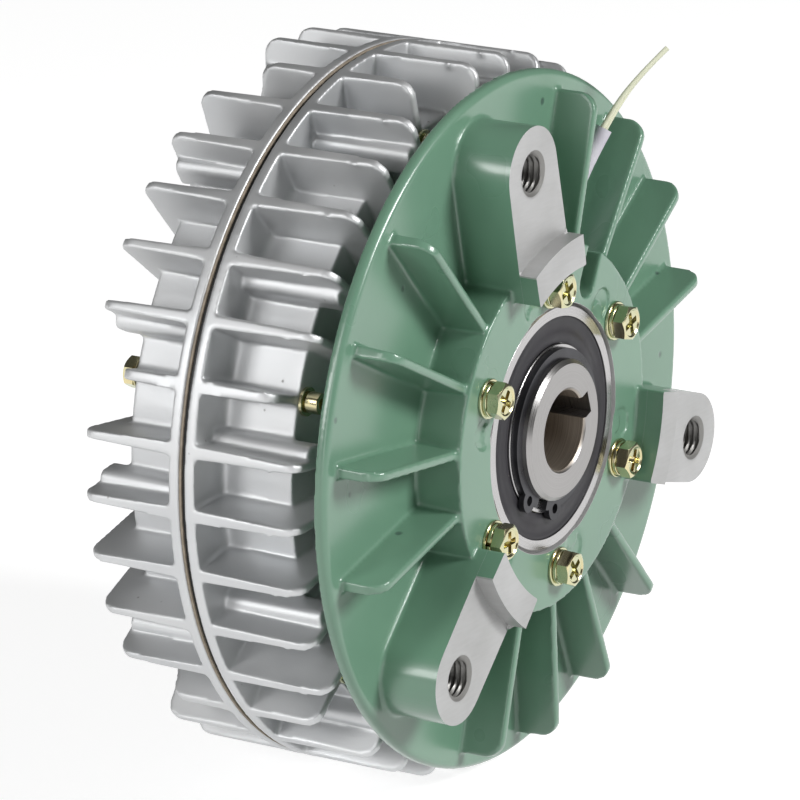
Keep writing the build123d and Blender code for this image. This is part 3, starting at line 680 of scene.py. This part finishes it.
seal_section = [
    (0.02766, 0.0001),
    (0.02745, 0.0),
    (0.02670, 0.0),
    (0.02655, 0.00012),
    (0.02400, 0.00012),
    (0.02385, 0.0),
    (0.02170, 0.0),
    (0.02100, 0.0003),
    (0.02100, 0.0008),
    (0.02205, 0.0010),
    (0.02766, 0.0010),
]
race_section = [
    (0.01752, 0.0005),
    (0.01800, 0.0),
    (0.02070, 0.0),
    (0.02085, 0.00015),
    (0.02085, 0.0014),
    (0.02190, 0.0014),
    (0.02190, 0.0036),
    (0.02090, 0.0046),
    (0.02042, 0.0058),
    (0.02028, 0.0070),
]
for bearing_name, front in bearing_fronts.items():
    back = front + bearing_width
    race = [(radius, front + depth) for radius, depth in race_section]
    race += [(radius, back - depth) for radius, depth in reversed(race_section[:-1])]
    piece_from(
        bearing_name + "_race",
        [turned_shape(race)],
        bearing_steel,
        "rotor",
        [bearing_name + "_inner_ring"],
        crease=25,
    )
    front_seal = [(radius, front + seal_inset + depth) for radius, depth in seal_section]
    back_seal = [(radius, back - seal_inset - depth) for radius, depth in seal_section]
    piece_from(
        bearing_name + "_rubber_seals",
        [turned_shape(front_seal), turned_shape(back_seal)],
        seal_rubber,
        "stator",
        [bearing_name + "_seals"],
        crease=50,
    )
    give(bearing_name + "_outer_ring", bearing_steel)
    give(bearing_name + "_balls", bearing_steel)
    give(bearing_name + "_cage", cage_steel)

# Hollow shaft: turned steel with a keyway through its bore. The end face is bright from facing,
# and the bore is browned by oil. A spacer tube holds the two bearings apart on it.
bore_radius = 0.0100
brown_end = 0.0106
shaft_steel, tree, shader = new_material("shaft_steel")
rings = place_group(tree, lines_group, Scale=3000.0)
grain = place_group(tree, grain_group, Scale=60.0)
grain_share = math_node(tree, "MULTIPLY", grain.outputs["Mottle"], 0.6)
tone = math_node(tree, "MULTIPLY_ADD", rings.outputs["Tone"], 0.4, grain_share)
radius_here, _ = radius_node(tree, tree.nodes.new("ShaderNodeTexCoord").outputs["Object"])
in_bore = range_node(tree, radius_here, bore_radius, brown_end, 1.0, 0.0)
turned_colour = blend_node(tree, tone, (0.32, 0.31, 0.305), (0.43, 0.42, 0.415))
bore_colour = blend_node(tree, tone, (0.30, 0.25, 0.20), (0.62, 0.56, 0.49))
tree.links.new(blend_node(tree, in_bore, turned_colour, bore_colour), shader.inputs["Base Color"])
gloss = range_node(tree, tone, 0.2, 0.8, 0.26, 0.38)
tree.links.new(math_node(tree, "MULTIPLY_ADD", in_bore, 0.22, gloss), shader.inputs["Roughness"])
shader.inputs["Metallic"].default_value = 1.0
tree.links.new(bump_node(tree, rings.outputs["Height"], 0.000008), shader.inputs["Normal"])
give("hollow_shaft", shaft_steel)
core_steel = turned_finish("core_steel", (0.42, 0.41, 0.41), (0.30, 0.30, 0.30), 0.38, lines=2500.0)
give("bearing_spacer", core_steel)

# Stator: two turned steel half cores round a plastic bobbin with its copper winding, closed by
# a stainless ring. All of it is hidden behind the bracket.
stainless_ring = turned_finish("stainless_ring", (0.60, 0.60, 0.61), (0.48, 0.48, 0.49), 0.3)
bobbin_plastic = finish("bobbin_plastic", (0.07, 0.07, 0.072), (0.05, 0.05, 0.05), 0.45)
winding_copper = turned_finish(
    "winding_copper", (0.72, 0.30, 0.14), (0.48, 0.17, 0.08), 0.28, lines=6000.0, depth=0.0001
)
give("core_front_half", core_steel)
give("core_rear_half", core_steel)
give("coil_cover_ring", stainless_ring)
give("coil_bobbin", bobbin_plastic)
give("coil_winding", winding_copper)
give("coil_tails", insulation)

# Lead grommet and sleeve: a rubber plug where the wires pass the plate, and a braided white
# glass-fibre sleeve that shields them between two ribs.
grommet_rubber = finish("grommet_rubber", (0.045, 0.045, 0.047), (0.032, 0.032, 0.033), 0.55, scale=140.0)
give("lead_grommet", grommet_rubber)
sleeve_fibre = finish(
    "sleeve_glass_fibre", (0.72, 0.70, 0.76), (0.60, 0.58, 0.65), 0.6, scale=220.0, depth=0.00008
)
give("lead_sleeve", sleeve_fibre)

# Stator bolts: hexagon screws with a dished top and a cross recess, each over a split spring
# washer and a flat washer. They are yellow zinc plated, which turns greenish towards the edges.
stator_bolt_radius = 0.036
stator_bolt_places = circle_places(stator_bolt_radius, 6, bracket_turn + 90)
flat_thickness = 0.0008
spring_thickness = 0.0010
washer_sides = 64
screw_sides = 72
# A hexagon's corners slope back from a round face of this share of its width
face_share = 0.93
corner_slope = 0.6
yellow_zinc, tree, shader = new_material("yellow_zinc_steel")
grain = place_group(tree, grain_group, Scale=150.0)
mottle = range_node(tree, grain.outputs["Mottle"], 0.35, 0.65, 0.0, 1.0)
tilt = tree.nodes.new("ShaderNodeLayerWeight")
tilt.inputs["Blend"].default_value = 0.35
gold = blend_node(tree, mottle, (0.70, 0.58, 0.32), (0.56, 0.55, 0.36))
tinted = blend_node(tree, tilt.outputs["Facing"], gold, (0.60, 0.66, 0.46))
tree.links.new(tinted, shader.inputs["Base Color"])
tree.links.new(range_node(tree, grain.outputs["Mottle"], 0.3, 0.7, 0.16, 0.28), shader.inputs["Roughness"])
shader.inputs["Metallic"].default_value = 1.0
tree.links.new(bump_node(tree, grain.outputs["Height"], 0.000005), shader.inputs["Normal"])


def hexagon(flat):
    """Outline of a hexagon from half its width across the flats."""

    def outline(turn):
        return flat / math.cos((turn + math.pi / 6) % (math.pi / 3) - math.pi / 6)

    return outline


def cross(reach):
    """Outline of a cross recess from the reach of its arms."""

    def outline(turn):
        off = abs((turn + math.pi / 4) % (math.pi / 2) - math.pi / 4)
        return min(reach, 0.27 * reach / max(math.sin(off), 0.01))

    return outline


def screw_rings(section):
    """Rings of a screw or nut, each from a radius or an outline and its height."""
    return [round_ring(radius, height, screw_sides) for radius, height in section]


def shank_rings(size, length):
    """Screw shank with a tapered tip, up to the screw's seat."""
    tip = -length + size * 0.12
    return screw_rings([(size / 2 * 0.7, -length), (size / 2, tip), (size / 2, 0.0)])


def corner_ring(flat, height, slope):
    """Edge of a hexagon whose corners slope away from its round end face."""
    ring = []
    for number in range(screw_sides):
        turn = 2 * math.pi * number / screw_sides
        reach = hexagon(flat)(turn)
        level = height + slope * (reach - face_share * flat)
        ring.append((reach * math.cos(turn), reach * math.sin(turn), level))
    return ring


def hex_screw(across, height, size, length, recess):
    """Hexagon screw that stands on its seat, with a washer face, chamfered corners and a dish."""
    flat = across / 2
    rings = shank_rings(size, length)
    rings += screw_rings([(0.95 * flat, 0.0), (0.95 * flat, 0.05 * height), (hexagon(flat), 0.08 * height)])
    rings.append(corner_ring(flat, height, -corner_slope))
    rings += screw_rings([(face_share * flat, height), (0.87 * flat, height), (0.78 * flat, 0.90 * height)])
    if recess:
        for arm, depth in ((0.70, 0.88), (0.66, 0.50), (0.30, 0.12)):
            rings.append(round_ring(cross(arm * flat), depth * height, screw_sides))
    else:
        rings.append(round_ring(0.40 * flat, 0.88 * height, screw_sides))
    return skin_rings(rings, capped=True)


def flat_washer(inner, outer, thickness):
    """Punched washer with slightly rounded edges."""
    edge = 0.2 * thickness
    section = [
        (inner, edge),
        (inner + edge, 0.0),
        (outer - edge, 0.0),
        (outer, edge),
        (outer, thickness - edge),
        (outer - edge, thickness),
        (inner + edge, thickness),
        (inner, thickness - edge),
    ]
    rings = [round_ring(radius, height, washer_sides) for radius, height in section]
    return skin_rings(rings, joined=True)


def spring_washer(inner, outer, thickness, start):
    """Split washer: one coil of square wire, pressed nearly flat, with a slanting gap."""
    edge = 0.15 * thickness
    half_gap = 0.12
    rings = []
    for step in range(washer_sides + 1):
        share = step / washer_sides
        turn = start + half_gap + share * (2 * math.pi - 2 * half_gap)
        cosine = math.cos(turn)
        sine = math.sin(turn)
        rise = 0.10 * thickness * (share - 0.5)
        section = [
            (inner, edge),
            (inner + edge, 0.05 * thickness),
            (outer - edge, 0.05 * thickness),
            (outer, edge),
            (outer, thickness - edge),
            (outer - edge, 0.95 * thickness),
            (inner + edge, 0.95 * thickness),
            (inner, thickness - edge),
        ]
        rings.append([(radius * cosine, radius * sine, height + rise) for radius, height in section])
    return skin_rings(rings, capped=True)


washer_shape = flat_washer(inner=0.00265, outer=0.0049, thickness=flat_thickness)
piece_from(
    "stator_bolt_washers",
    [set_at(washer_shape, x, z, hub_level) for x, z in stator_bolt_places],
    yellow_zinc,
    "stator",
    ["stator_bolt_flat_washers"],
)
spring_shapes = []
bolt_shapes = []
bolt_shape = hex_screw(across=0.008, height=0.0034, size=0.005, length=0.060, recess=True)
for number, (x, z) in enumerate(stator_bolt_places):
    spring = spring_washer(0.00265, 0.0043, spring_thickness, 1.3 * number + 0.5)
    spring_shapes.append(set_at(spring, x, z, hub_level - flat_thickness))
    seat = hub_level - flat_thickness - spring_thickness
    bolt_shapes.append(set_at(bolt_shape, x, z, seat, turn=0.37 + 0.61 * number))
piece_from(
    "stator_bolt_split_washers",
    spring_shapes,
    yellow_zinc,
    "stator",
    ["stator_bolt_spring_washers"],
)
piece_from("stator_hex_bolts", bolt_shapes, yellow_zinc, "stator", ["stator_bolts"])

# Rotor ring: the steel yoke round the stator, the magnetic powder that lies on its bore, and
# the stainless labyrinth ring that keeps the powder in.
give("yoke_ring", core_steel)
iron_powder = finish(
    "iron_powder", (0.10, 0.10, 0.105), (0.06, 0.06, 0.062), 0.8, metallic=0.4, scale=500.0, depth=0.0001
)
give("magnetic_powder", iron_powder)
give("labyrinth_ring", stainless_ring)

# Drum halves: aluminium castings with 36 fins each, as they leave the mould, with rounded
# edges. The front one has a small round ejector mark on the edge of each long fin.
drum_turn = 163.5
seam_front = 0.0524
seam_back = 0.0538
drum_radius = 0.0898
fin_count = 36
bolt_count = 6
ejector_radius = 0.0012
ejector_length = 0.0012
ejector_out = 0.0892
ejector_side = 0.0005
ejector_station = 0.0291
drum_aluminium, tree, shader = new_material("drum_aluminium")
grain = place_group(tree, grain_group, Scale=45.0)
pits = place_group(tree, pit_group, Scale=160.0, Size=0.07)
mottle = range_node(tree, grain.outputs["Mottle"], 0.3, 0.7, 0.0, 1.0)
cast_colour = blend_node(tree, mottle, (0.58, 0.59, 0.60), (0.68, 0.685, 0.69))
cast_colour = blend_node(tree, pits.outputs["Mask"], cast_colour, (0.35, 0.34, 0.33))
tree.links.new(cast_colour, shader.inputs["Base Color"])
tree.links.new(range_node(tree, grain.outputs["Mottle"], 0.3, 0.7, 0.46, 0.60), shader.inputs["Roughness"])
shader.inputs["Metallic"].default_value = 0.75
relief = bump_node(tree, grain.outputs["Height"], 0.00002)
relief = bump_node(tree, grain.outputs["Mottle"], 0.0001, relief)
relief = bump_node(tree, pits.outputs["Mask"], -0.00008, relief)
tree.links.new(relief, shader.inputs["Normal"])
for drum_name, marked in (("drum_front_half", True), ("drum_rear_half", False)):
    form = bmesh.new()
    form.from_mesh(nodes[drum_name].data)
    if marked:
        for number in range(fin_count):
            if number % (fin_count // bolt_count) == 0:
                continue
            turn = math.radians(drum_turn + number * 360 / fin_count)
            outwards = Vector((math.cos(turn), 0.0, math.sin(turn)))
            sideways = Vector((-math.sin(turn), 0.0, math.cos(turn)))
            centre = outwards * ejector_out + sideways * ejector_side + Vector((0.0, ejector_station, 0.0))
            matrix = Matrix.Translation(centre) @ outwards.to_track_quat("Z", "Y").to_matrix().to_4x4()
            bmesh.ops.create_cone(
                form,
                cap_ends=True,
                segments=24,
                radius1=ejector_radius,
                radius2=ejector_radius,
                depth=ejector_length,
                matrix=matrix,
            )
    drum_skin = bpy.data.meshes.new(drum_name + "_skin")
    form.to_mesh(drum_skin)
    form.free()

    def machine_half(places, marked=marked):
        """Face the seam side and turn the outside."""
        if marked:
            places[:, 1] = np.minimum(places[:, 1], seam_front)
        else:
            places[:, 1] = np.maximum(places[:, 1], seam_back)
        set_radius(places, np.hypot(places[:, 0], places[:, 2]) > drum_radius, drum_radius)

    casting = rounded_casting(
        drum_name + "_casting", drum_skin, grain=0.0005, passes=7, share=0.3, machine=machine_half
    )
    smooth_casting(casting)
    casting.data.materials.clear()
    casting.data.materials.append(drum_aluminium)
    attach(casting, "rotor")
    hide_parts(drum_name)

# Seam of the drum: a black rubber seal in front of a tan fibre gasket, both cut from sheet and
# clamped between the rims. The seal is darker than the other rubber parts, as painted shade of
# the groove between the rims.
# Near-black seal colour: black rubber, made darker still as painted shade in the seam's groove.
seam_rubber = finish("seam_rubber", (0.012, 0.012, 0.013), (0.008, 0.008, 0.008), 0.6, scale=140.0)
give("seam_seal", seam_rubber)
gasket_fibre = finish(
    "gasket_fibre", (0.40, 0.335, 0.26), (0.28, 0.235, 0.18), 0.7, scale=500.0, depth=0.00004
)
give("seam_gasket", gasket_fibre)

# Drum bolts: six yellow zinc cap screws with slim round heads through both halves, each with a
# split washer in front, and a flat washer and a hexagon nut behind.
drum_bolt_radius = 0.0736
drum_bolt_places = circle_places(drum_bolt_radius, bolt_count, drum_turn)
drum_front_level = 0.0304
drum_back_level = 0.0758
drum_spring_thickness = 0.0010
drum_flat_thickness = 0.0005


def cap_screw(head, height, size, length, socket):
    """Round-headed cap screw with a hexagon socket."""
    edge = 0.1 * height
    section = [
        (head - edge, 0.0),
        (head, edge),
        (head, height - edge),
        (head - 0.3 * edge, height - 0.3 * edge),
        (head - edge, height),
        (0.75 * head, height),
        (hexagon(socket / 2), 0.95 * height),
        (hexagon(socket / 2), 0.5 * height),
    ]
    return skin_rings(shank_rings(size, length) + screw_rings(section), capped=True)


def hex_nut(across, height, bore):
    """Hexagon nut with chamfered corners at both ends."""
    flat = across / 2
    mouth = bore * 1.15
    rings = screw_rings([(bore, 0.1 * height), (mouth, 0.0), (face_share * flat, 0.0)])
    rings.append(corner_ring(flat, 0.0, corner_slope))
    rings.append(corner_ring(flat, height, -corner_slope))
    rings += screw_rings([(face_share * flat, height), (mouth, height), (bore, 0.9 * height)])
    return skin_rings(rings, joined=True)


drum_springs = []
drum_flats = []
drum_screws = []
drum_nut_shapes = []
drum_screw = cap_screw(head=0.0026, height=0.0036, size=0.004, length=0.050, socket=0.0025)
drum_washer = flat_washer(inner=0.00215, outer=0.0040, thickness=drum_flat_thickness)
drum_nut = hex_nut(across=0.007, height=0.0032, bore=0.00202)
nut_seat = drum_back_level + drum_flat_thickness
for number, (x, z) in enumerate(drum_bolt_places):
    spring = spring_washer(0.00215, 0.0035, drum_spring_thickness, 0.9 * number + 0.2)
    drum_springs.append(set_at(spring, x, z, drum_front_level))
    seat = drum_front_level - drum_spring_thickness
    drum_screws.append(set_at(drum_screw, x, z, seat, turn=0.2 + 0.47 * number))
    drum_flats.append(set_at(drum_washer, x, z, drum_back_level, facing=1))
    drum_nut_shapes.append(set_at(drum_nut, x, z, nut_seat, facing=1, turn=0.4 * number))
for piece_name, shapes, node_name in (
    ("drum_split_washers", drum_springs, "drum_bolt_front_washers"),
    ("drum_flat_washers", drum_flats, "drum_bolt_rear_washers"),
    ("drum_cap_screws", drum_screws, "drum_bolts"),
    ("drum_hex_nuts", drum_nut_shapes, "drum_nuts"),
):
    piece_from(piece_name, shapes, yellow_zinc, "rotor", [node_name])

# Drive flange: a turned aluminium disc, keyed to the shaft behind the rear bearing, with six
# plain zinc screws and washers that hold the drum.
flange_bolt_radius = 0.0555
flange_back = 0.0818
flange_washer_thickness = 0.0010
flange_aluminium = turned_finish(
    "flange_aluminium", (0.76, 0.76, 0.77), (0.62, 0.62, 0.63), 0.3, lines=2500.0
)
plain_zinc = finish(
    "plain_zinc_steel", (0.62, 0.63, 0.65), (0.50, 0.51, 0.53), 0.3, metallic=1.0, scale=150.0
)
give("drive_flange", flange_aluminium)
give("flange_key", core_steel)
flange_screws = []
flange_washers = []
flange_screw = hex_screw(across=0.008, height=0.0035, size=0.005, length=0.011, recess=False)
flange_washer = flat_washer(inner=0.00265, outer=0.0050, thickness=flange_washer_thickness)
screw_seat = flange_back + flange_washer_thickness
for number, (x, z) in enumerate(circle_places(flange_bolt_radius, bolt_count, drum_turn + 30)):
    flange_washers.append(set_at(flange_washer, x, z, flange_back, facing=1))
    flange_screws.append(set_at(flange_screw, x, z, screw_seat, facing=1, turn=0.3 + 0.7 * number))
for piece_name, shapes, node_name in (
    ("flange_hex_screws", flange_screws, "flange_bolts"),
    ("flange_flat_washers", flange_washers, "flange_bolt_washers"),
):
    piece_from(piece_name, shapes, plain_zinc, "rotor", [node_name])

# Retaining rings: punched from spring steel with two eyes for the pliers, blackened and oiled.
# Each one sits in a groove of the shaft.
spring_steel = finish(
    "spring_steel", (0.055, 0.055, 0.062), (0.032, 0.032, 0.036), 0.3, metallic=0.7, scale=120.0
)
give("front_circlip", spring_steel)
give("rear_circlip", spring_steel)

# Studio: a white sheet under the brake that keeps its soft shadow, two softboxes behind on the
# left for the drum, one high in front for the bracket, and a strip low on the left for its rim.
floor_gap = 0.0002
floor_level = cad_box[0][2] - floor_gap
floor_reach = 3.0
floor_mesh = bpy.data.meshes.new("floor")
floor_corners = [(x * floor_reach, y * floor_reach) for x, y in ((-1, -1), (1, -1), (1, 1), (-1, 1))]
floor_mesh.from_pydata([(x, y, floor_level) for x, y in floor_corners], [], [(0, 1, 2, 3)])
floor = put_in_scene("floor", floor_mesh)
floor_sheet, tree, shader = new_material("floor_sheet")
shader.inputs["Base Color"].default_value = (0.5, 0.5, 0.5, 1)
shader.inputs["Roughness"].default_value = 0.8
rays = tree.nodes.new("ShaderNodeLightPath")
glow = tree.nodes.new("ShaderNodeEmission")
glow.inputs["Color"].default_value = (1.0, 1.0, 1.0, 1)
glow.inputs["Strength"].default_value = 0.8
lit = tree.nodes.new("ShaderNodeAddShader")
tree.links.new(shader.outputs["BSDF"], lit.inputs[0])
tree.links.new(glow.outputs["Emission"], lit.inputs[1])
seen = tree.nodes.new("ShaderNodeMixShader")
mirrored = math_node(tree, "MAXIMUM", rays.outputs["Is Camera Ray"], rays.outputs["Is Glossy Ray"])
tree.links.new(mirrored, seen.inputs["Fac"])
tree.links.new(shader.outputs["BSDF"], seen.inputs[1])
tree.links.new(lit.outputs["Shader"], seen.inputs[2])
tree.links.new(seen.outputs["Shader"], tree.nodes["Material Output"].inputs["Surface"])
floor_mesh.materials.append(floor_sheet)

world = bpy.data.worlds.new("studio")
bpy.context.scene.world = world
world.use_nodes = True
tree = world.node_tree
background = tree.nodes["Background"]
background.inputs["Color"].default_value = (0.93, 0.94, 0.91, 1)
background.inputs["Strength"].default_value = 0.08
white = tree.nodes.new("ShaderNodeBackground")
white.inputs["Color"].default_value = (1, 1, 1, 1)
white.inputs["Strength"].default_value = 1.0
rays = tree.nodes.new("ShaderNodeLightPath")
seen = tree.nodes.new("ShaderNodeMixShader")
tree.links.new(rays.outputs["Is Camera Ray"], seen.inputs["Fac"])
tree.links.new(background.outputs["Background"], seen.inputs[1])
tree.links.new(white.outputs["Background"], seen.inputs[2])
tree.links.new(seen.outputs["Shader"], tree.nodes["World Output"].inputs["Surface"])


def softbox(name, place, size, power):
    """Broad lamp that points at the brake."""
    lamp_data = bpy.data.lights.new(name, "AREA")
    lamp_data.shape = "RECTANGLE"
    lamp_data.size, lamp_data.size_y = size
    lamp_data.energy = power
    lamp = put_in_scene(name, lamp_data)
    lamp.location = place
    aim = camera_target - Vector(place)
    lamp.rotation_euler = aim.to_track_quat("-Z", "Y").to_euler()


softbox("key_softbox", (-1.5, 0.35, 0.75), (0.7, 0.7), 6.5)
softbox("front_softbox", (0.25, -1.5, 0.95), (0.5, 0.5), 29)
softbox("left_softbox", (-1.6, 0.8, 0.45), (0.45, 0.5), 7.5)
softbox("rim_softbox", (-1.5, -0.45, 0.2), (0.35, 1.0), 4)

bpy.context.scene.view_settings.view_transform = "Standard"
